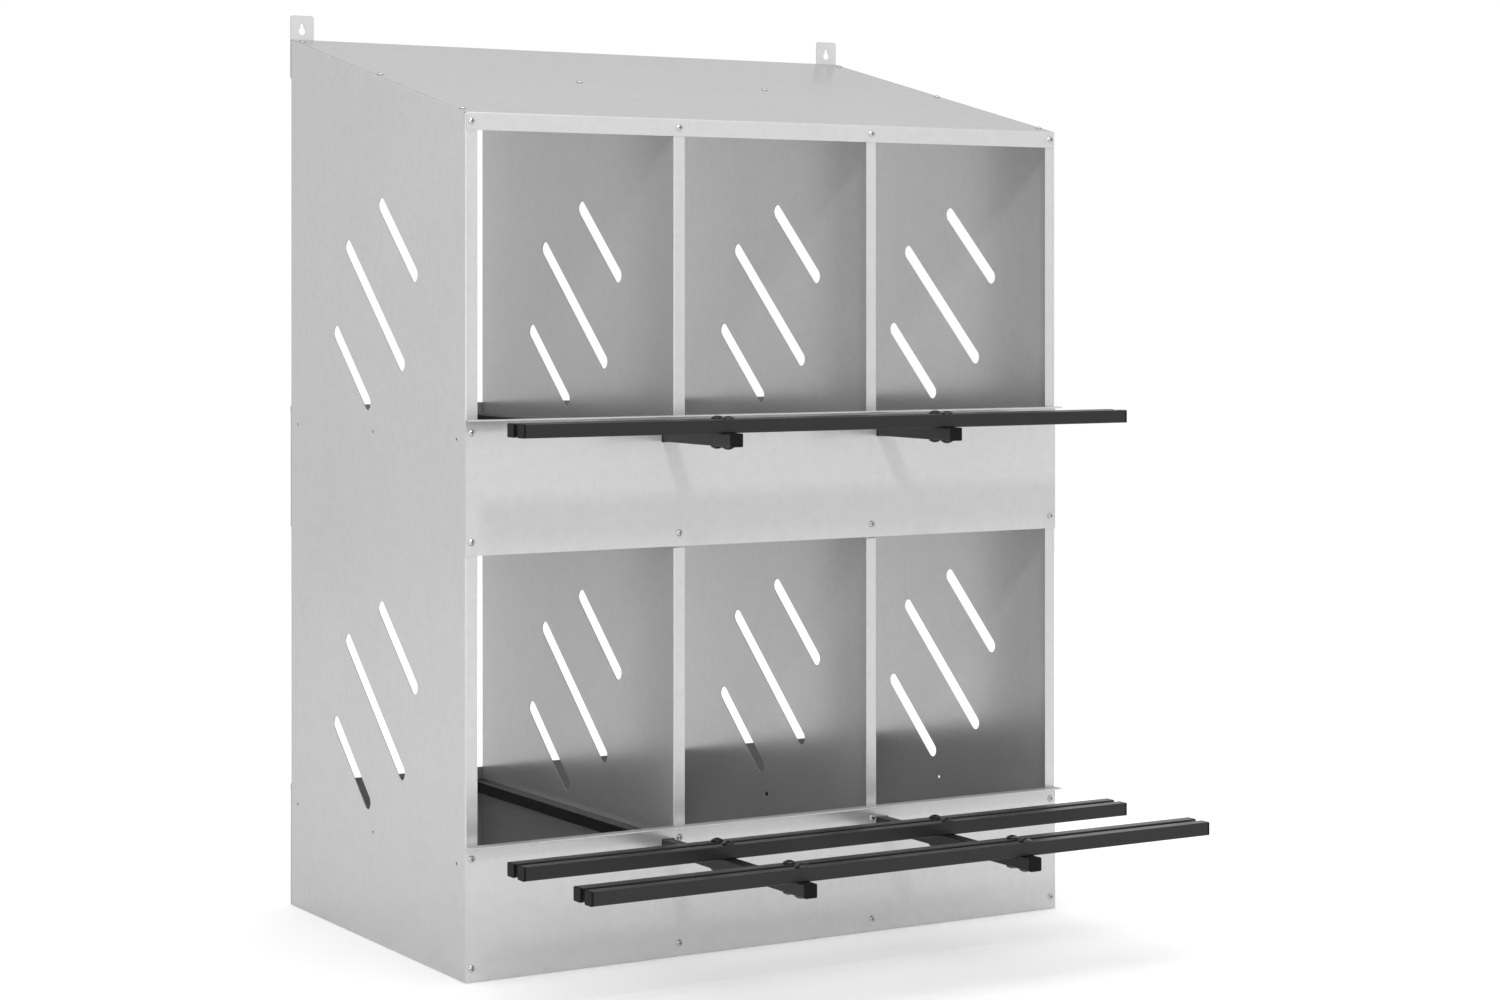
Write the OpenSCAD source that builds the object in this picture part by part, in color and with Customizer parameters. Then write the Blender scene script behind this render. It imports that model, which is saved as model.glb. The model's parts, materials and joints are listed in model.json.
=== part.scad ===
// Six-compartment nesting box for hens: bent sheet metal, two tiers of three
// nests, a sloping roof, perch bars on arms, and two keyhole plates for a wall.
// Frame: X across the front, Y from the front to the rear, Z up. The origin is
// on the ground under the middle of the body.

/* [Body] */
// Width over the two side panels
body_w = 930; // [870:10:990]
// Depth from the front flanges to the rear flanges
body_d = 584; // [540:2:620]
// Height of the roof's top surface at the front
front_h = 1111; // [1100:1:1160]
// Height of the roof's top surface at the rear
rear_h = 1246; // [1230:1:1290]
// Height from one floor to the next
tier_h = 544; // [530:1:560]
// Height of the front and rear boards
board_h = 174; // [160:1:190]
// Width of every bent flange
flange_w = 17; // [16:0.5:20]
// Sheet thickness
sheet_t = 1; // [0.8:0.1:1.2]
// Outer radius of the bends
bend_r = 2; // [1.6:0.1:2.4]

/* [Front and roof edges] */
// How far the front boards' top lip stands out
lip_w = 17.5; // [14:0.5:20]
// Height of the roof's front lip
roof_front_lip = 23; // [20:1:26]
// Height of the roof's rear lip
roof_rear_lip = 58; // [54:1:64]
// Gap between the roof's ends and the outer faces of the side panels
roof_inset = 1.5; // [1:0.5:3]
// Height of the floor trays' upturned edges
tray_h = 30; // [26:1:34]

/* [Vent slots] */
// Width of a slot
slot_w = 20; // [16:1:22]
// Length of the middle slot, tip to tip
slot_long = 258; // [220:2:260]
// Length of the outer slots, tip to tip
slot_short = 162; // [130:2:170]
// Slope of the slots
slot_angle = 41.5; // [40:0.5:50]
// Distance between slot centre lines
slot_step = 116; // [110:1:124]
// Depth of the middle slot's centre
slot_y = 286; // [280:1:304]
// Height of the middle slot's centre above its floor
slot_z = 320.5; // [316:0.5:324]

/* [Perches] */
// Outer size of the square tube of arms and bars
tube = 17.5; // [16:0.5:18]
// Wall of the tube
tube_wall = 1.5; // [1:0.25:2]
// Distance between the two bars of a pair
bar_pitch = 28.5; // [26:0.5:32]
// Distance from the body's front to the middle of the first pair
perch_out = 144; // [120:2:170]
// Distance between two pairs on the lower arms
perch_step = 178; // [160:2:200]
// How far an arm runs on beyond the middle of its last pair
arm_over = 37; // [32:1:44]
// Height of the arms' middle above their floor
arm_z = 148; // [146:1:149]
// Distance of the outermost arm holes from the body's front and rear
arm_hole_in = 26; // [22:1:30]

/* [Hanging plates] */
// Width of a plate
plate_w = 36; // [32:1:40]
// Height of a plate above the roof's rear edge
plate_up = 35; // [33:1:40]
// Thickness of a plate
plate_t = 2.5; // [2.5:0.1:3]
// Diameter of the keyhole's round part
key_d = 11; // [9:0.5:12]
// Width of the keyhole's narrow part
key_w = 5.5; // [4.5:0.5:6]

/* [Fasteners] */
// Thread diameter of the panel screws
screw_d = 5; // [4:0.5:5]
// Head diameter of the panel screws
screw_head = 9; // [8:0.5:10]
// Thread diameter of the perch bolts
bolt_d = 6; // [5:0.5:6]
// Head diameter of the perch bolts
bolt_head = 16; // [14:0.5:17]
// Thread diameter of the arm screws
arm_screw_d = 4; // [3:0.5:4]

/* [Hidden] */
$fn = 48;
eps = 0.01;
far = 2000;

// Colours.
steel = [0.80, 0.80, 0.80];
bright = [0.86, 0.86, 0.86];
black = [0.16, 0.16, 0.16];
jet = [0.10, 0.10, 0.10];

// Uprights: two side panels and two dividers share one even spacing.
upright_step = (body_w - flange_w) / 3;
function flange_mid(i) = i * upright_step + flange_w / 2;
web_left = upright_step;
web_right = body_w - upright_step;
function floor_z(k) = k * tier_h;
relief = 2 * bend_r;

// Roof slope. The slope frame has its origin on the roof's top front edge.
roof_angle = atan((rear_h - front_h) / body_d);
slope_len = body_d / cos(roof_angle);
bend_steps = 8;

// Screw heights above a floor: one row through the tray's edge, one above.
row_low = 17.5;
row_high = 157.5;
front_lip_z = front_h - roof_front_lip;
front_row = front_lip_z + roof_front_lip / 2;
rear_lip_z = rear_h - roof_rear_lip;
rear_row = rear_lip_z + 32;
roof_rows = [27, slot_y, body_d - 22];
plate_rows = [rear_lip_z + 14, rear_lip_z + 44];

// Fasteners.
screw_hole = screw_d + 0.5;
bolt_hole = bolt_d + 0.5;
screw_head_h = 2.4;
screw_len = 10;
screw_nut_af = 8;
screw_nut_h = 4;
recess_w = 1.2;
recess_span = 5.2;
recess_depth = 1.5;
bolt_head_h = 4.2;
socket_af = 5;
socket_depth = 2.2;
sleeve_d = bolt_d + 2;
sleeve_len = 10;
sleeve_hole = sleeve_d + 0.5;
arm_screw_hole = arm_screw_d + 0.5;
arm_screw_head = arm_screw_d + 2;
arm_screw_head_h = 1.4;
arm_screw_tail = 2;

// Perches.
arm_rear = body_d - 7;
arm_window = tube + 2;
arm_holes = [arm_hole_in, body_d / 2, body_d - arm_hole_in];
cap_t = 3;
plug_len = 12;
plug_gap = 0.1;
function pair_y(j) = -perch_out - j * perch_step;
function arm_tip(k) = pair_y(k == 0 ? 1 : 0) - arm_over;
function pairs(k) = k == 0 ? [0, 1] : [0];
function bar_y(j, side) = pair_y(j) + side * bar_pitch / 2;
function arm_x(side) = side < 0 ? web_left - tube / 2 : web_right + tube / 2;

// Hanging plates.
plate_low = rear_lip_z + 1;
plate_top = rear_h + plate_up;
plate_round = 4;
key_z = rear_h + 12.5;
key_top = rear_h + 23.5;

// ---- Frames ----------------------------------------------------------------

// From the front left ground corner to the origin under the body's middle.
module placed() {
    translate([-body_w / 2, -body_d / 2, 0]) children();
}

// Turns a drawing in (depth, height) into a cut or plate along X.
module along_x(x, length) {
    translate([x, 0, 0])
        rotate([90, 0, 90])
            linear_extrude(height = length) children();
}

// The slope frame: X across, Y up the slope, Z square to the roof.
module on_slope() {
    translate([0, 0, front_h]) rotate([roof_angle, 0, 0]) children();
}

// Copies a left-hand piece to the right-hand side.
module right_hand() {
    translate([body_w, 0, 0]) mirror([1, 0, 0]) children();
}

// The frame of the sheet that closes a tier: roof slope or the upper tray.
module top_frame(sloped) {
    if (sloped) on_slope() children();
    else translate([0, 0, tier_h + sheet_t]) children();
}

// ---- Bent sheet ------------------------------------------------------------

// A quarter bend whose outer corner is at the origin.
module corner_bend() {
    intersection() {
        translate([bend_r, bend_r]) difference() {
            circle(r = bend_r);
            circle(r = bend_r - sheet_t);
        }
        square([bend_r, bend_r]);
    }
}

// An open channel: web along Y, a flange along X at each end.
module channel_outline() {
    translate([0, bend_r]) square([sheet_t, body_d - 2 * bend_r]);
    for (end = [0, 1])
        translate([0, end * body_d]) mirror([0, end]) {
            corner_bend();
            translate([bend_r, 0]) square([flange_w - bend_r, sheet_t]);
        }
}

// The flange under a tier's closing sheet, drawn across it.
module top_flange_outline() {
    mirror([0, 1]) {
        corner_bend();
        translate([bend_r, 0]) square([flange_w - bend_r, sheet_t]);
        translate([0, bend_r]) square([sheet_t, relief]);
    }
}

// A slot with round ends, lying along the first axis.
module slot_outline(length) {
    square([length - slot_w, slot_w], center = true);
    for (end = [-1, 1])
        translate([end * (length - slot_w) / 2, 0]) circle(d = slot_w);
}

module vent_outline(floor_height) {
    translate([slot_y, floor_height + slot_z]) rotate(slot_angle)
        for (i = [-1, 0, 1])
            translate([0, i * slot_step])
                slot_outline(i == 0 ? slot_long : slot_short);
}

module web_cuts(k) {
    along_x(-bend_r, 2 * bend_r + sheet_t) {
        vent_outline(floor_z(k));
        for (y = arm_holes)
            translate([y, floor_z(k) + arm_z]) circle(d = arm_screw_hole);
    }
}

// Holes through both end flanges at one height.
module flange_holes(z) {
    translate([flange_w / 2, -bend_r, z]) rotate([-90, 0, 0])
        cylinder(d = screw_hole, h = body_d + 2 * bend_r);
}

// Holes down through the top flange, square to it.
module top_holes(rows, sloped) {
    for (y = rows)
        top_frame(sloped)
            translate([flange_w / 2, sloped ? y / cos(roof_angle) : y, -relief])
                cylinder(d = screw_hole, h = 2 * relief);
}

// A web with end flanges from one height up, bent over at the top.
module upright(low, sloped) {
    difference() {
        translate([0, 0, low])
            linear_extrude(height = rear_h - low) channel_outline();
        top_frame(sloped)
            translate([-far / 4, -far / 4, -sheet_t - bend_r])
                cube([far / 2, far, far / 2]);
    }
    top_frame(sloped)
        translate([0, sloped ? slope_len - relief : body_d - relief, -sheet_t])
            rotate([90, 0, 0])
                linear_extrude(height = (sloped ? slope_len : body_d) - 2 * relief)
                    top_flange_outline();
}

module side_panel() {
    difference() {
        upright(0, true);
        for (k = [0, 1]) {
            web_cuts(k);
            for (row = [row_low, row_high]) flange_holes(floor_z(k) + row);
        }
        translate([flange_w / 2, -bend_r, front_row]) rotate([-90, 0, 0])
            cylinder(d = screw_hole, h = 2 * bend_r);
        for (z = plate_rows)
            translate([flange_w / 2, body_d - bend_r, z]) rotate([-90, 0, 0])
                cylinder(d = screw_hole, h = 2 * bend_r);
        top_holes(roof_rows, true);
    }
}

// A divider stands on its tray; its end flanges run down past the tray's edges.
module divider(k) {
    gap = 0.2;
    base = floor_z(k);
    translate([upright_step, 0, 0]) difference() {
        upright(base, k == 1);
        translate([-eps, sheet_t, base - eps])
            cube([flange_w + 1, body_d - 2 * sheet_t, sheet_t + eps]);
        for (end = [0, 1])
            translate([0, end * body_d, 0]) mirror([0, end, 0])
                translate([-eps, sheet_t, base - eps])
                    cube([flange_w + 1, sheet_t + gap, tray_h + gap]);
        web_cuts(k);
        for (row = [row_low, row_high]) flange_holes(base + row);
        if (k == 1) {
            translate([flange_w / 2, -bend_r, front_row]) rotate([-90, 0, 0])
                cylinder(d = screw_hole, h = 2 * bend_r);
            translate([flange_w / 2, body_d - bend_r, rear_row])
                rotate([-90, 0, 0])
                    cylinder(d = screw_hole, h = 2 * bend_r);
        }
        top_holes([slot_y], k == 1);
    }
}

// ---- Trays, boards, roof ---------------------------------------------------

// A shallow tray with its edges turned up, notched at the four corners.
module floor_tray(k) {
    base = floor_z(k);
    x0 = sheet_t;
    y0 = sheet_t;
    w = body_w - 2 * x0;
    d = body_d - 2 * y0;
    notch = bend_r + 1;
    translate([x0, y0, base]) difference() {
        union() {
            translate([bend_r, bend_r, 0])
                cube([w - 2 * bend_r, d - 2 * bend_r, sheet_t]);
            for (end = [0, 1]) {
                translate([0, end * d, 0]) mirror([0, end, 0])
                    translate([notch, 0, 0]) rotate([90, 0, 90])
                        linear_extrude(height = w - 2 * notch) tray_edge();
                translate([end * w, 0, 0]) mirror([end, 0, 0])
                    translate([0, d - notch, 0]) rotate([90, 0, 0])
                        linear_extrude(height = d - 2 * notch) tray_edge();
            }
        }
        for (i = [0 : 3])
            translate([flange_mid(i) - x0, -1, row_low]) rotate([-90, 0, 0])
                cylinder(d = screw_hole, h = body_d + 2);
        if (k == 1)
            for (i = [1, 2])
                translate([flange_mid(i) - x0, slot_y - y0, -1])
                    cylinder(d = screw_hole, h = 4);
    }
}

module tray_edge() {
    corner_bend();
    translate([0, bend_r]) square([sheet_t, tray_h - bend_r]);
    translate([bend_r, 0]) square([bend_r, sheet_t]);
}

// A front board in (depth, height): a lip bent outwards, hemmed underneath.
module front_board_outline() {
    hem = 8;
    translate([-sheet_t, 0]) square([sheet_t, board_h - bend_r]);
    translate([0, board_h]) mirror([1, 0]) mirror([0, 1]) corner_bend();
    translate([sheet_t - lip_w, board_h - sheet_t])
        square([lip_w - sheet_t - bend_r, sheet_t]);
    translate([sheet_t - lip_w, board_h - 2 * sheet_t])
        square([hem, sheet_t]);
    intersection() {
        translate([sheet_t - lip_w, board_h - sheet_t]) circle(r = sheet_t);
        translate([-lip_w, board_h - 2 * sheet_t])
            square([sheet_t, 2 * sheet_t]);
    }
}

module board_screw_holes(y) {
    for (i = [0 : 3], row = [row_low, row_high])
        translate([flange_mid(i), y, row]) rotate([-90, 0, 0])
            cylinder(d = screw_hole, h = 2 * bend_r);
}

module front_board(k) {
    translate([0, 0, floor_z(k)]) difference() {
        along_x(0, body_w) front_board_outline();
        board_screw_holes(-bend_r);
        for (side = [-1, 1])
            translate([arm_x(side) - arm_window / 2, -bend_r,
                       arm_z - arm_window / 2])
                cube([arm_window, 2 * bend_r, arm_window]);
    }
}

// A rear board with its top edge folded flat against its outer face.
module rear_board_outline() {
    hem = 8;
    translate([body_d, 0]) square([sheet_t, board_h - sheet_t]);
    translate([body_d + sheet_t, board_h - sheet_t - hem])
        square([sheet_t, hem]);
    intersection() {
        translate([body_d + sheet_t, board_h - sheet_t]) circle(r = sheet_t);
        translate([body_d, board_h - sheet_t]) square([2 * sheet_t, sheet_t]);
    }
}

module rear_board(k) {
    translate([0, 0, floor_z(k)]) difference() {
        along_x(0, body_w) rear_board_outline();
        board_screw_holes(body_d - bend_r);
    }
}

// Points on a bend about c, between two angles of its outward normal.
function bend_points(c, r, from, to) = [
    for (i = [0 : bend_steps])
        let (t = from + (to - from) * i / bend_steps) c + r * [cos(t), sin(t)]
];

// The roof in (depth, height over the front edge): front lip, slope, rear lip.
module roof_outline() {
    n = 90 + roof_angle;
    inner_r = bend_r - sheet_t;
    front_y = bend_r - sheet_t;
    rear_y = body_d - front_y;
    drop = bend_r / cos(roof_angle);
    front_c = [front_y, front_y * tan(roof_angle) - drop];
    rear_c = [rear_y, rear_y * tan(roof_angle) - drop];
    front_low = -roof_front_lip;
    rear_low = rear_lip_z - front_h;
    polygon(concat(
        [[-sheet_t, front_low]],
        bend_points(front_c, bend_r, 180, n),
        bend_points(rear_c, bend_r, n, 0),
        [[body_d + sheet_t, rear_low], [body_d, rear_low]],
        bend_points(rear_c, inner_r, 0, n),
        bend_points(front_c, inner_r, n, 180),
        [[0, front_low]]
    ));
}

module roof() {
    difference() {
        translate([0, 0, front_h])
            along_x(roof_inset, body_w - 2 * roof_inset) roof_outline();
        for (i = [0 : 3])
            translate([flange_mid(i), -bend_r, front_row]) rotate([-90, 0, 0])
                cylinder(d = screw_hole, h = 2 * bend_r);
        for (i = [1, 2])
            translate([flange_mid(i), body_d - bend_r, rear_row])
                rotate([-90, 0, 0])
                    cylinder(d = screw_hole, h = 2 * bend_r);
        for (i = [0, 3], z = plate_rows)
            translate([flange_mid(i), body_d - bend_r, z]) rotate([-90, 0, 0])
                cylinder(d = screw_hole, h = 2 * bend_r);
        roof_screw_places()
            translate([0, 0, -relief]) cylinder(d = screw_hole, h = 2 * relief);
    }
}

// Every screw on top of the roof, in the slope frame.
module roof_screw_places() {
    for (i = [0, 3], y = roof_rows)
        on_slope() translate([flange_mid(i), y / cos(roof_angle), 0]) children();
    for (i = [1, 2])
        on_slope() translate([flange_mid(i), slot_y / cos(roof_angle), 0])
            children();
}

// A hanging plate with a keyhole, round at its four corners.
module hanging_plate() {
    h = plate_top - plate_low;
    translate([0, body_d + sheet_t + plate_t, plate_low]) rotate([90, 0, 0])
        difference() {
            linear_extrude(height = plate_t) difference() {
                union() {
                    translate([plate_round, 0])
                        square([plate_w - 2 * plate_round, h]);
                    translate([0, plate_round])
                        square([plate_w, h - 2 * plate_round]);
                    for (x = [plate_round, plate_w - plate_round],
                         y = [plate_round, h - plate_round])
                        translate([x, y]) circle(r = plate_round);
                }
                translate([plate_w / 2 - key_w / 2, key_z - plate_low])
                    square([key_w, key_top - key_z - key_w / 2]);
                translate([plate_w / 2, key_top - key_w / 2 - plate_low])
                    circle(d = key_w);
            }
            translate([plate_w / 2, key_z - plate_low, -1])
                cylinder(d = key_d, h = plate_t + 2);
            for (z = plate_rows)
                translate([flange_w / 2, z - plate_low, -1])
                    cylinder(d = screw_d, h = plate_t + 2);
        }
}

// ---- Perches ---------------------------------------------------------------

module tube_outline() {
    corner = 1.5;
    difference() {
        rounded_square(tube, corner);
        square(tube - 2 * tube_wall, center = true);
    }
}

module rounded_square(size, corner) {
    straight = size - 2 * corner;
    square([size, straight], center = true);
    square([straight, size], center = true);
    for (x = [-1, 1], y = [-1, 1])
        translate([x, y] * straight / 2) circle(r = corner);
}

// An arm, its drawing origin on the middle of its section.
module perch_arm(k, side) {
    tip = arm_tip(k) + cap_t;
    length = arm_rear - cap_t - tip;
    translate([arm_x(side), tip, floor_z(k) + arm_z]) difference() {
        rotate([-90, 0, 0]) linear_extrude(height = length) tube_outline();
        for (y = arm_holes)
            translate([0, y - tip, 0]) rotate([0, -90 * side, 0])
                cylinder(d = arm_screw_d, h = tube);
        for (j = pairs(k), row = [-1, 1])
            translate([0, bar_y(j, row) - tip, -tube]) {
                cylinder(d = bolt_hole, h = 2 * tube);
                cylinder(d = sleeve_hole, h = tube);
            }
    }
}

module perch_bar(k, j, row) {
    translate([cap_t, bar_y(j, row), floor_z(k) + arm_z + tube]) difference() {
        rotate([0, 90, 0])
            linear_extrude(height = body_w - 2 * cap_t) tube_outline();
        for (side = [-1, 1])
            translate([arm_x(side) - cap_t, 0, -tube])
                cylinder(d = bolt_hole, h = 2 * tube);
    }
}

// An end plug: a head as big as the tube and a stem inside it, pointing up.
module end_plug() {
    stem = tube - 2 * tube_wall - 2 * plug_gap;
    linear_extrude(height = cap_t) rounded_square(tube, 1.5);
    translate([-stem / 2, -stem / 2, cap_t]) cube([stem, stem, plug_len]);
}

module bar_caps(k, j) {
    for (row = [-1, 1]) {
        y = bar_y(j, row);
        z = floor_z(k) + arm_z + tube;
        translate([0, y, z]) rotate([0, 90, 0]) end_plug();
        translate([body_w, y, z]) rotate([0, -90, 0]) end_plug();
    }
}

module arm_caps(k) {
    for (side = [-1, 1]) {
        z = floor_z(k) + arm_z;
        translate([arm_x(side), arm_tip(k), z]) rotate([-90, 0, 0]) end_plug();
        translate([arm_x(side), arm_rear, z]) rotate([90, 0, 0]) end_plug();
    }
}

// ---- Fasteners, each drawn with its head's seat at the origin, facing up ----

// A domed head: a low cylinder under a slice of a sphere.
module dome(d, h) {
    rim = h / 3;
    cap = h - rim;
    r = (d * d / 4 + cap * cap) / (2 * cap);
    rotate_extrude() {
        square([d / 2, rim]);
        translate([0, h - r]) intersection() {
            circle(r = r);
            translate([0, r - cap - eps]) square([d / 2, cap + eps]);
        }
    }
}

module hex_nut(af, h, hole) {
    difference() {
        cylinder(d = af / cos(30), h = h, $fn = 6);
        translate([0, 0, -1]) cylinder(d = hole, h = h + 2);
    }
}

module panel_screw() {
    difference() {
        dome(screw_head, screw_head_h);
        for (turn = [0, 90])
            rotate(turn)
                translate([-recess_span / 2, -recess_w / 2,
                           screw_head_h - recess_depth])
                    cube([recess_span, recess_w, 2 * recess_depth]);
    }
    translate([0, 0, -screw_len]) cylinder(d = screw_d, h = screw_len + eps);
}

// A panel nut, its seat at the given depth under the head's seat.
module panel_nut(depth) {
    translate([0, 0, -depth - screw_nut_h])
        hex_nut(screw_nut_af, screw_nut_h, screw_d);
}

// A button head with a hex socket, and a shank as long as the grip.
module perch_bolt(grip) {
    difference() {
        dome(bolt_head, bolt_head_h);
        translate([0, 0, bolt_head_h - socket_depth])
            cylinder(d = socket_af / cos(30), h = 2 * socket_depth, $fn = 6);
    }
    translate([0, 0, -grip]) cylinder(d = bolt_d, h = grip + eps);
}

// A domed nut under the arm, its sleeve threaded on the end of the shank.
module perch_nut(grip) {
    translate([0, 0, -grip]) difference() {
        union() {
            mirror([0, 0, 1]) dome(bolt_head, bolt_head_h);
            translate([0, 0, -eps]) cylinder(d = sleeve_d, h = sleeve_len + eps);
        }
        cylinder(d = bolt_d, h = 2 * sleeve_len);
    }
}

// A low-headed screw through the web, threaded into the arm's near wall.
module arm_screw() {
    grip = sheet_t + tube_wall + arm_screw_tail;
    dome(arm_screw_head, arm_screw_head_h);
    translate([0, 0, -grip]) cylinder(d = arm_screw_d, h = grip + eps);
}

// Two bars on two arms: the four places where a bolt goes down through both.
module perch_bolt_places(k, j) {
    for (side = [-1, 1], row = [-1, 1])
        translate([arm_x(side), bar_y(j, row),
                   floor_z(k) + arm_z + 1.5 * tube])
            children();
}

// On the webs' far sides from the arms, facing away from them.
module arm_screw_places(k) {
    for (y = arm_holes) {
        z = floor_z(k) + arm_z;
        translate([web_left + sheet_t, y, z]) rotate([0, 90, 0]) children();
        translate([web_right - sheet_t, y, z]) rotate([0, -90, 0]) children();
    }
}

module front_places(k, rows) {
    for (i = [0 : 3], row = rows)
        translate([flange_mid(i), -sheet_t, floor_z(k) + row])
            rotate([90, 0, 0]) children();
}

module rear_places(k, rows) {
    for (i = [0 : 3], row = rows)
        translate([flange_mid(i), body_d + sheet_t, floor_z(k) + row])
            rotate([-90, 0, 0]) children();
}

module roof_lip_places() {
    for (i = [0 : 3])
        translate([flange_mid(i), -sheet_t, front_row]) rotate([90, 0, 0])
            children();
}

module roof_rear_places() {
    for (i = [1, 2])
        translate([flange_mid(i), body_d + sheet_t, rear_row])
            rotate([-90, 0, 0]) children();
}

module tray_divider_places() {
    for (i = [1, 2])
        translate([flange_mid(i), slot_y, tier_h + sheet_t]) children();
}

// Screws from inside through flange and lip, threaded into the plates.
module threaded_screws() {
    grip = 2 * sheet_t + plate_t - 0.1;
    for (i = [0, 3], z = plate_rows)
        translate([flange_mid(i), body_d - sheet_t, z]) rotate([90, 0, 0]) {
            dome(screw_head, screw_head_h);
            translate([0, 0, -grip]) cylinder(d = screw_d, h = grip + eps);
        }
}

// ---- Sub-parts -------------------------------------------------------------

module side_panel_left() color(steel) placed() side_panel();
module side_panel_right() color(steel) placed() right_hand() side_panel();
module divider_lower_left() color(steel) placed() divider(0);
module divider_lower_right() color(steel) placed() right_hand() divider(0);
module divider_upper_left() color(steel) placed() divider(1);
module divider_upper_right() color(steel) placed() right_hand() divider(1);
module floor_tray_lower() color(steel) placed() floor_tray(0);
module floor_tray_upper() color(steel) placed() floor_tray(1);
module front_board_lower() color(steel) placed() front_board(0);
module front_board_upper() color(steel) placed() front_board(1);
module rear_board_lower() color(steel) placed() rear_board(0);
module rear_board_upper() color(steel) placed() rear_board(1);
module roof_panel() color(steel) placed() roof();
module hanging_plate_left() color(steel) placed() hanging_plate();
module hanging_plate_right() color(steel) placed() right_hand() hanging_plate();

module perch_arm_lower_left() color(black) placed() perch_arm(0, -1);
module perch_arm_lower_right() color(black) placed() perch_arm(0, 1);
module perch_arm_upper_left() color(black) placed() perch_arm(1, -1);
module perch_arm_upper_right() color(black) placed() perch_arm(1, 1);
module perch_bar_lower_outer_front() color(black) placed() perch_bar(0, 1, -1);
module perch_bar_lower_outer_rear() color(black) placed() perch_bar(0, 1, 1);
module perch_bar_lower_inner_front() color(black) placed() perch_bar(0, 0, -1);
module perch_bar_lower_inner_rear() color(black) placed() perch_bar(0, 0, 1);
module perch_bar_upper_front() color(black) placed() perch_bar(1, 0, -1);
module perch_bar_upper_rear() color(black) placed() perch_bar(1, 0, 1);
module bar_caps_lower_outer() color(jet) placed() bar_caps(0, 1);
module bar_caps_lower_inner() color(jet) placed() bar_caps(0, 0);
module bar_caps_upper() color(jet) placed() bar_caps(1, 0);
module arm_caps_lower() color(jet) placed() arm_caps(0);
module arm_caps_upper() color(jet) placed() arm_caps(1);

module perch_bolts(k, j) color(jet) placed()
    perch_bolt_places(k, j) perch_bolt(2 * tube);
module perch_nuts(k, j) color(jet) placed()
    perch_bolt_places(k, j) perch_nut(2 * tube);
module perch_bolts_lower_outer() perch_bolts(0, 1);
module perch_bolts_lower_inner() perch_bolts(0, 0);
module perch_bolts_upper() perch_bolts(1, 0);
module perch_nuts_lower_outer() perch_nuts(0, 1);
module perch_nuts_lower_inner() perch_nuts(0, 0);
module perch_nuts_upper() perch_nuts(1, 0);
module arm_screws(k) color(jet) placed() arm_screw_places(k) arm_screw();
module arm_screws_lower() arm_screws(0);
module arm_screws_upper() arm_screws(1);

module front_screws(k) color(bright) placed()
    front_places(k, [row_low, row_high]) panel_screw();
module rear_screws(k) color(bright) placed()
    rear_places(k, [row_low, row_high]) panel_screw();
module front_screws_lower() front_screws(0);
module front_screws_upper() front_screws(1);
module rear_screws_lower() rear_screws(0);
module rear_screws_upper() rear_screws(1);
module roof_screws() color(bright) placed() roof_screw_places() panel_screw();
module roof_lip_screws() color(bright) placed() {
    roof_lip_places() panel_screw();
    roof_rear_places() panel_screw();
}
module plate_screws() color(bright) placed() threaded_screws();
module tray_divider_screws() color(bright) placed()
    tray_divider_places() panel_screw();

module front_nuts() color(bright) placed() {
    for (k = [0, 1]) {
        front_places(k, [row_low]) panel_nut(3 * sheet_t);
        front_places(k, [row_high]) panel_nut(2 * sheet_t);
    }
    roof_lip_places() panel_nut(2 * sheet_t);
}
module rear_nuts() color(bright) placed() {
    for (k = [0, 1]) {
        rear_places(k, [row_low]) panel_nut(3 * sheet_t);
        rear_places(k, [row_high]) panel_nut(2 * sheet_t);
    }
    roof_rear_places() panel_nut(2 * sheet_t);
}
module roof_nuts() color(bright) placed()
    roof_screw_places() panel_nut(2 * sheet_t);
module tray_divider_nuts() color(bright) placed()
    tray_divider_places() panel_nut(2 * sheet_t);

side_panel_left();
side_panel_right();
divider_lower_left();
divider_lower_right();
divider_upper_left();
divider_upper_right();
floor_tray_lower();
floor_tray_upper();
front_board_lower();
front_board_upper();
rear_board_lower();
rear_board_upper();
roof_panel();
hanging_plate_left();
hanging_plate_right();
perch_arm_lower_left();
perch_arm_lower_right();
perch_arm_upper_left();
perch_arm_upper_right();
perch_bar_lower_outer_front();
perch_bar_lower_outer_rear();
perch_bar_lower_inner_front();
perch_bar_lower_inner_rear();
perch_bar_upper_front();
perch_bar_upper_rear();
bar_caps_lower_outer();
bar_caps_lower_inner();
bar_caps_upper();
arm_caps_lower();
arm_caps_upper();
perch_bolts_lower_outer();
perch_bolts_lower_inner();
perch_bolts_upper();
perch_nuts_lower_outer();
perch_nuts_lower_inner();
perch_nuts_upper();
arm_screws_lower();
arm_screws_upper();
front_screws_lower();
front_screws_upper();
rear_screws_lower();
rear_screws_upper();
roof_screws();
roof_lip_screws();
plate_screws();
tray_divider_screws();
front_nuts();
rear_nuts();
roof_nuts();
tray_divider_nuts();
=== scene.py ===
import json
import math

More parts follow.
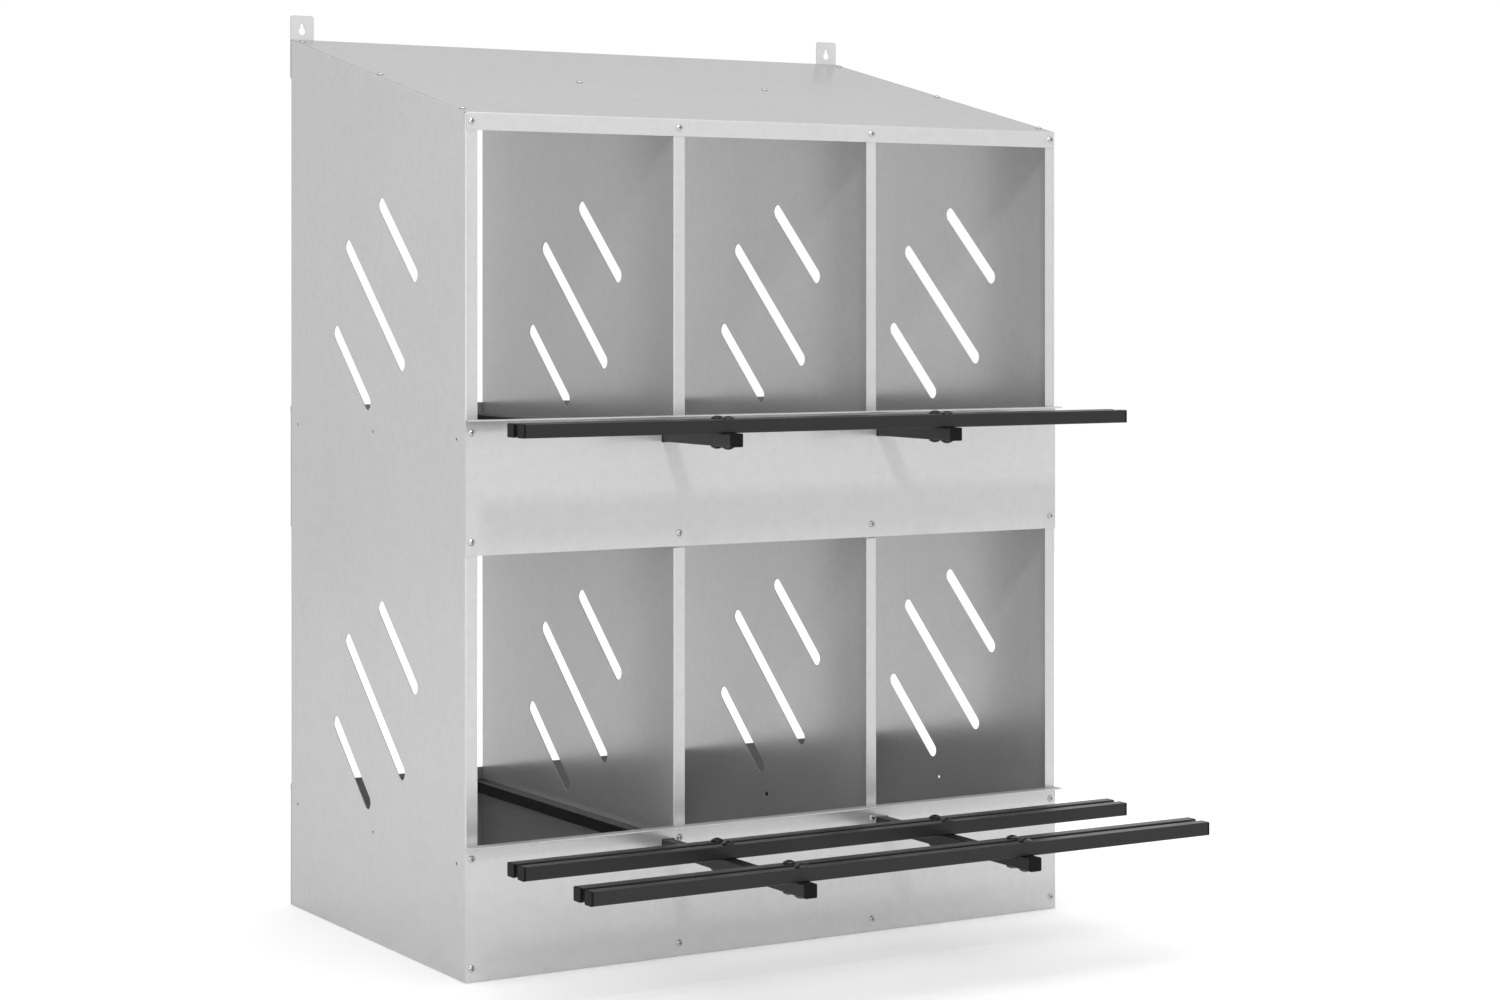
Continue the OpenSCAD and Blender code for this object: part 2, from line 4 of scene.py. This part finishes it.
import bpy
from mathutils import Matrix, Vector

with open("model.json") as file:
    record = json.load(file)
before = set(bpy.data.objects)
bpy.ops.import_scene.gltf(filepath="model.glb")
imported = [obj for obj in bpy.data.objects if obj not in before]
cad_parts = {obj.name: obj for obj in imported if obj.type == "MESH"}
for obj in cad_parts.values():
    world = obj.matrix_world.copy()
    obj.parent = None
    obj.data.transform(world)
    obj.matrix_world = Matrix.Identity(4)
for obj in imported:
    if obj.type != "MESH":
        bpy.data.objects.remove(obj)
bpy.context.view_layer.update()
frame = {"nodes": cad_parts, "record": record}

# The camera: level, at the height and turn that the front corner's edges call for.
CAMERA_PLACE = (-2.120, -3.783, 0.8746)
CAMERA_TILT = 90.0
CAMERA_TURN = -30.74
CAMERA_LENS = 72.43
CAMERA_SENSOR = 36.0
CAMERA_SHIFT_X = 0.00047
CAMERA_SHIFT_Y = -0.1353
CAMERA_REACH = 200.0

# The stage. Lengths in metres, powers in watts.
LIGHT_AIM = (0.0, 0.0, 0.6)
KEY_SIDE = 0.36
KEY_POWER = 44.0
FILL_SIDE = 1.6
FILL_POWER = 18.0
TOP_SIDE = 3.4
TOP_POWER = 45.0
SKY_STRENGTH = 1.01
FLOOR_HALF = 4.5
FLOOR_DROP = 0.0005
FLOOR_GLOW = 0.13

# Tints, and a solid white for sockets that take an alpha.
NEUTRAL = (1.0, 1.0, 1.0)
ZINC_TINT = (0.998, 1.0, 1.002)
SCREW_TINT = (1.0, 1.0, 1.005)
SOLID_WHITE = (1.0, 1.0, 1.0, 1.0)

# Ranges of a pattern's values that are spread over the range that is asked for.
WHOLE = (0.0, 1.0)
MOST = (0.2, 0.8)
MIDDLE = (0.25, 0.75)
CORE = (0.3, 0.7)

# Rolling streaks run up the sheet: their pattern's Z coordinate is scaled by this much.
STREAK_STRETCH = (1.0, 1.0, 0.06)
# The spangle's edges are feathered by a noise with this many repeats in a crystal, which moves
# them by up to this part of a crystal's size.
FEATHERS_PER_SPANGLE = 2.2
FEATHER_REACH = 0.9
# Painted shade darkens the fasteners' colour where other faces are within this distance, in
# metres.
PAINTED_SHADE_REACH = 0.003
PAINTED_SHADE_SAMPLES = 8


# ---------------------------------------------------------------- node helpers

class Nodes:
    """A material's node tree, with short calls for the nodes used here."""

    def __init__(self, name):
        self.material = bpy.data.materials.new(name)
        self.material.use_nodes = True
        self.tree = self.material.node_tree
        self.shader = self.tree.nodes["Principled BSDF"]

    def new(self, kind, **settings):
        made = self.tree.nodes.new(kind)
        for key, value in settings.items():
            setattr(made, key, value)
        return made

    def link(self, source, target):
        self.tree.links.new(source, target)

    def place(self, factors=(1.0, 1.0, 1.0)):
        """Object coordinates, in metres, times a factor along each axis."""
        coordinates = self.new("ShaderNodeTexCoord")
        mapping = self.new("ShaderNodeMapping")
        mapping.inputs["Scale"].default_value = factors
        self.link(coordinates.outputs["Object"], mapping.inputs["Vector"])
        return mapping.outputs["Vector"]

    def noise_node(self, vector, per_metre, detail):
        made = self.new("ShaderNodeTexNoise")
        made.inputs["Scale"].default_value = per_metre
        made.inputs["Detail"].default_value = detail
        self.link(vector, made.inputs["Vector"])
        return made

    def noise(self, vector, per_metre, detail=2.0, rough=0.5):
        made = self.noise_node(vector, per_metre, detail)
        made.inputs["Roughness"].default_value = rough
        return made.outputs["Fac"]

    def span(self, value, source, target, smooth=False):
        """value, moved from the range source to the range target and kept within it."""
        made = self.new("ShaderNodeMapRange")
        if smooth:
            made.interpolation_type = "SMOOTHSTEP"
        for key, number in zip(("From Min", "From Max", "To Min", "To Max"), source + target):
            made.inputs[key].default_value = number
        self.link(value, made.inputs["Value"])
        return made.outputs["Result"]

    def combine(self, operation, first, second):
        made = self.new("ShaderNodeMath", operation=operation)
        self.link(first, made.inputs[0])
        self.link(second, made.inputs[1])
        return made.outputs["Value"]

    def grey(self, value, tint):
        """A colour that is tint times a grey value."""
        made = self.new("ShaderNodeVectorMath", operation="SCALE")
        made.inputs[0].default_value = tint
        self.link(value, made.inputs["Scale"])
        return made.outputs["Vector"]

    def bump(self, height, strength, distance, after=None):
        made = self.new("ShaderNodeBump")
        made.inputs["Strength"].default_value = strength
        made.inputs["Distance"].default_value = distance
        self.link(height, made.inputs["Height"])
        if after is not None:
            self.link(after, made.inputs["Normal"])
        return made.outputs["Normal"]

    def painted_shade_mask(self):
        """1 on open faces, falling to 0 in hollows and tight corners where shade falls: the mask
        for painted shade.
        """
        made = self.new("ShaderNodeAmbientOcclusion", samples=PAINTED_SHADE_SAMPLES, only_local=False)
        made.inputs["Distance"].default_value = PAINTED_SHADE_REACH
        return made.outputs["AO"]

    def finish(self, colour, roughness, normal, metallic, specular=0.5, edge=1.0):
        inputs = self.shader.inputs
        inputs["Specular Tint"].default_value = (edge, edge, edge, 1.0)
        inputs["Metallic"].default_value = metallic
        inputs["Specular IOR Level"].default_value = specular
        self.link(colour, inputs["Base Color"])
        self.link(roughness, inputs["Roughness"])
        self.link(normal, inputs["Normal"])
        return self.material


# ------------------------------------------------------------------- materials

def galvanised(name, tint, level, roughness, spangle_size):
    """Zinc-coated sheet: faint spangle, streaks, soft cloudy patches, grain and slight waves."""
    m = Nodes(name)
    flat = m.place()
    along = m.place(STREAK_STRETCH)

    # Crystals of the coating, with feathered edges.
    feathers = m.noise_node(flat, FEATHERS_PER_SPANGLE / spangle_size, detail=3.0)
    shift = m.new("ShaderNodeVectorMath", operation="SCALE")
    shift.inputs["Scale"].default_value = spangle_size * FEATHER_REACH
    m.link(feathers.outputs["Color"], shift.inputs[0])
    moved = m.new("ShaderNodeVectorMath", operation="ADD")
    m.link(flat, moved.inputs[0])
    m.link(shift.outputs["Vector"], moved.inputs[1])
    cells = m.new("ShaderNodeTexVoronoi", feature="F1")
    cells.inputs["Scale"].default_value = 1.0 / spangle_size
    m.link(moved.outputs["Vector"], cells.inputs["Vector"])
    split = m.new("ShaderNodeSeparateColor")
    m.link(cells.outputs["Color"], split.inputs["Color"])
    crystal = split.outputs[0]
    facet = split.outputs[1]

    clouds = m.noise(flat, 5.0, detail=3.0)
    streaks = m.noise(along, 260.0)
    grain = m.noise(flat, 1700.0)
    waves = m.noise(flat, 3.0, detail=1.0)

    slight = (0.985, 1.015)
    tone = m.span(crystal, WHOLE, (level * 0.98, level * 1.02))
    for pattern, source in ((clouds, MIDDLE), (streaks, MOST), (grain, MOST)):
        tone = m.combine("MULTIPLY", tone, m.span(pattern, source, slight))

    rough = m.span(facet, WHOLE, (roughness - 0.015, roughness + 0.015))
    for pattern, source in ((clouds, MIDDLE), (grain, MOST)):
        rough = m.combine("ADD", rough, m.span(pattern, source, (-0.02, 0.02)))

    normal = m.bump(waves, strength=0.2, distance=0.0012)
    normal = m.bump(crystal, strength=0.02, distance=0.0003, after=normal)
    normal = m.bump(grain, strength=0.05, distance=0.0002, after=normal)
    colour = m.grey(tone, tint)
    return m.finish(colour, rough, normal, metallic=0.57, specular=0.0, edge=0.46)


def powder_coat(name, tint, level, roughness, specular):
    """Black powder coat: fine orange peel, with faint rubbed patches."""
    m = Nodes(name)
    flat = m.place()
    peel = m.noise(flat, 520.0)
    fine = m.noise(flat, 2300.0, detail=1.0)
    rubbed = m.noise(flat, 22.0, detail=5.0, rough=0.6)
    tone = m.span(rubbed, (0.35, 0.75), (level * 0.92, level * 1.25), smooth=True)
    tone = m.combine("MULTIPLY", tone, m.span(peel, MOST, (0.94, 1.06)))
    rough = m.span(rubbed, (0.3, 0.8), (roughness + 0.03, roughness - 0.05))
    rough = m.combine("ADD", rough, m.span(peel, MOST, (-0.03, 0.03)))
    normal = m.bump(peel, strength=0.22, distance=0.0003)
    normal = m.bump(fine, strength=0.10, distance=0.0001, after=normal)
    return m.finish(m.grey(tone, tint), rough, normal, metallic=0.0, specular=specular)


def moulded_plastic(name, tint, level, roughness, specular):
    """Matt moulded plastic with a fine sparked grain."""
    m = Nodes(name)
    flat = m.place()
    grain = m.noise(flat, 1500.0)
    patches = m.noise(flat, 60.0, detail=3.0)
    tone = m.span(patches, CORE, (level * 0.93, level * 1.08))
    rough = m.span(grain, MOST, (roughness - 0.04, roughness + 0.04))
    normal = m.bump(grain, strength=0.18, distance=0.0002)
    return m.finish(m.grey(tone, tint), rough, normal, metallic=0.0, specular=specular)


def plated(name, tint, level, roughness, metallic):
    """Plated fastener: fine marks, slight tarnish, and painted shade that darkens its hollows.
    """
    m = Nodes(name)
    flat = m.place()
    marks = m.noise(flat, 2600.0)
    tarnish = m.noise(flat, 140.0, detail=4.0, rough=0.6)
    tarnished = (0.3, 0.75)
    tone = m.span(tarnish, tarnished, (level * 1.05, level * 0.86))
    # Painted shade: the colour darkens in hollows and tight corners, where shade falls.
    tone = m.combine("MULTIPLY", tone, m.span(m.painted_shade_mask(), (0.35, 0.95), (0.25, 1.0)))
    rough = m.span(tarnish, tarnished, (roughness - 0.04, roughness + 0.08))
    normal = m.bump(marks, strength=0.12, distance=0.0002)
    return m.finish(m.grey(tone, tint), rough, normal, metallic=metallic)


def white_floor(name):
    """Pale studio floor with a faint mottle, which glows a little."""
    m = Nodes(name)
    flat = m.place()
    mottle = m.noise(flat, 9.0, detail=3.0)
    tone = m.span(mottle, CORE, (0.94, 0.96))
    rough = m.span(mottle, CORE, (0.88, 0.92))
    normal = m.bump(mottle, strength=0.02, distance=0.0005)
    m.shader.inputs["Emission Color"].default_value = SOLID_WHITE
    m.shader.inputs["Emission Strength"].default_value = FLOOR_GLOW
    return m.finish(m.grey(tone, NEUTRAL), rough, normal, metallic=0.0, specular=0.0)


FINISHES = {
    "galvanised_sheet": galvanised("galvanised_sheet", ZINC_TINT, level=0.552,
                                   roughness=0.21, spangle_size=0.009),
    "galvanised_plate": galvanised("galvanised_plate", ZINC_TINT, level=0.58,
                                   roughness=0.21, spangle_size=0.007),
    "black_tube": powder_coat("black_tube", NEUTRAL, level=0.006,
                              roughness=0.36, specular=0.38),
    "black_plug": moulded_plastic("black_plug", NEUTRAL, level=0.004,
                                  roughness=0.50, specular=0.1),
    "black_bolt": plated("black_bolt", NEUTRAL, level=0.005,
                         roughness=0.24, metallic=0.0),
    "zinc_screw": plated("zinc_screw", SCREW_TINT, level=0.52,
                         roughness=0.22, metallic=1.0),
}


def dress_cad_nodes():
    """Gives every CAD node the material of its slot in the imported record."""
    for part in frame["record"]["subparts"]:
        slots = frame["nodes"][part["node"]].data.materials
        slots.clear()
        slots.append(FINISHES[part["material_slot"]])


# ------------------------------------------------------------------- the stage

def make_floor():
    """One square, just below the box's lowest face."""
    mesh = bpy.data.meshes.new("floor")
    far = FLOOR_HALF
    corners = [(-far, -far, 0), (far, -far, 0), (far, far, 0), (-far, far, 0)]
    mesh.from_pydata(corners, [], [(0, 1, 2, 3)])
    floor = bpy.data.objects.new("floor", mesh)
    floor.location.z = -FLOOR_DROP
    mesh.materials.append(white_floor("studio_floor"))
    bpy.context.scene.collection.objects.link(floor)
    return floor


def soft_box(name, place, side, power):
    """A square area light that faces the box."""
    lamp = bpy.data.lights.new(name, "AREA")
    lamp.shape = "RECTANGLE"
    lamp.size = side
    lamp.size_y = side
    lamp.energy = power
    holder = bpy.data.objects.new(name, lamp)
    holder.location = place
    facing = Vector(LIGHT_AIM) - Vector(place)
    holder.rotation_euler = facing.to_track_quat("-Z", "Y").to_euler()
    bpy.context.scene.collection.objects.link(holder)
    return holder


def keep_off(lamp, floor):
    """The lamp lights the box alone, so that its hard-edged shadows stay off the floor."""
    skipped = bpy.data.collections.new("skipped by " + lamp.name)
    skipped.objects.link(floor)
    lamp.light_linking.receiver_collection = skipped
    skipped.collection_objects[0].light_linking.link_state = "EXCLUDE"


def make_studio(floor):
    """A white surround, a small key light, a low fill and a large top light."""
    world = bpy.data.worlds.new("studio")
    world.use_nodes = True
    sky = world.node_tree.nodes["Background"]
    sky.inputs["Color"].default_value = SOLID_WHITE
    sky.inputs["Strength"].default_value = SKY_STRENGTH
    bpy.context.scene.world = world
    bpy.context.scene.view_settings.view_transform = "Standard"
    key = soft_box("key", (-0.85, -2.8, 2.8), KEY_SIDE, KEY_POWER)
    keep_off(key, floor)
    soft_box("low fill", (-3.4, -4.0, 0.6), FILL_SIDE, FILL_POWER)
    soft_box("top", (0.3, -0.3, 5.0), TOP_SIDE, TOP_POWER)


def make_camera():
    lens = bpy.data.cameras.new("camera")
    lens.lens = CAMERA_LENS
    lens.sensor_width = CAMERA_SENSOR
    lens.shift_x = CAMERA_SHIFT_X
    lens.shift_y = CAMERA_SHIFT_Y
    lens.clip_end = CAMERA_REACH
    camera = bpy.data.objects.new("camera", lens)
    camera.location = CAMERA_PLACE
    camera.rotation_euler = (math.radians(CAMERA_TILT), 0, math.radians(CAMERA_TURN))
    bpy.context.scene.collection.objects.link(camera)
    bpy.context.scene.camera = camera


make_camera()
dress_cad_nodes()
make_studio(make_floor())
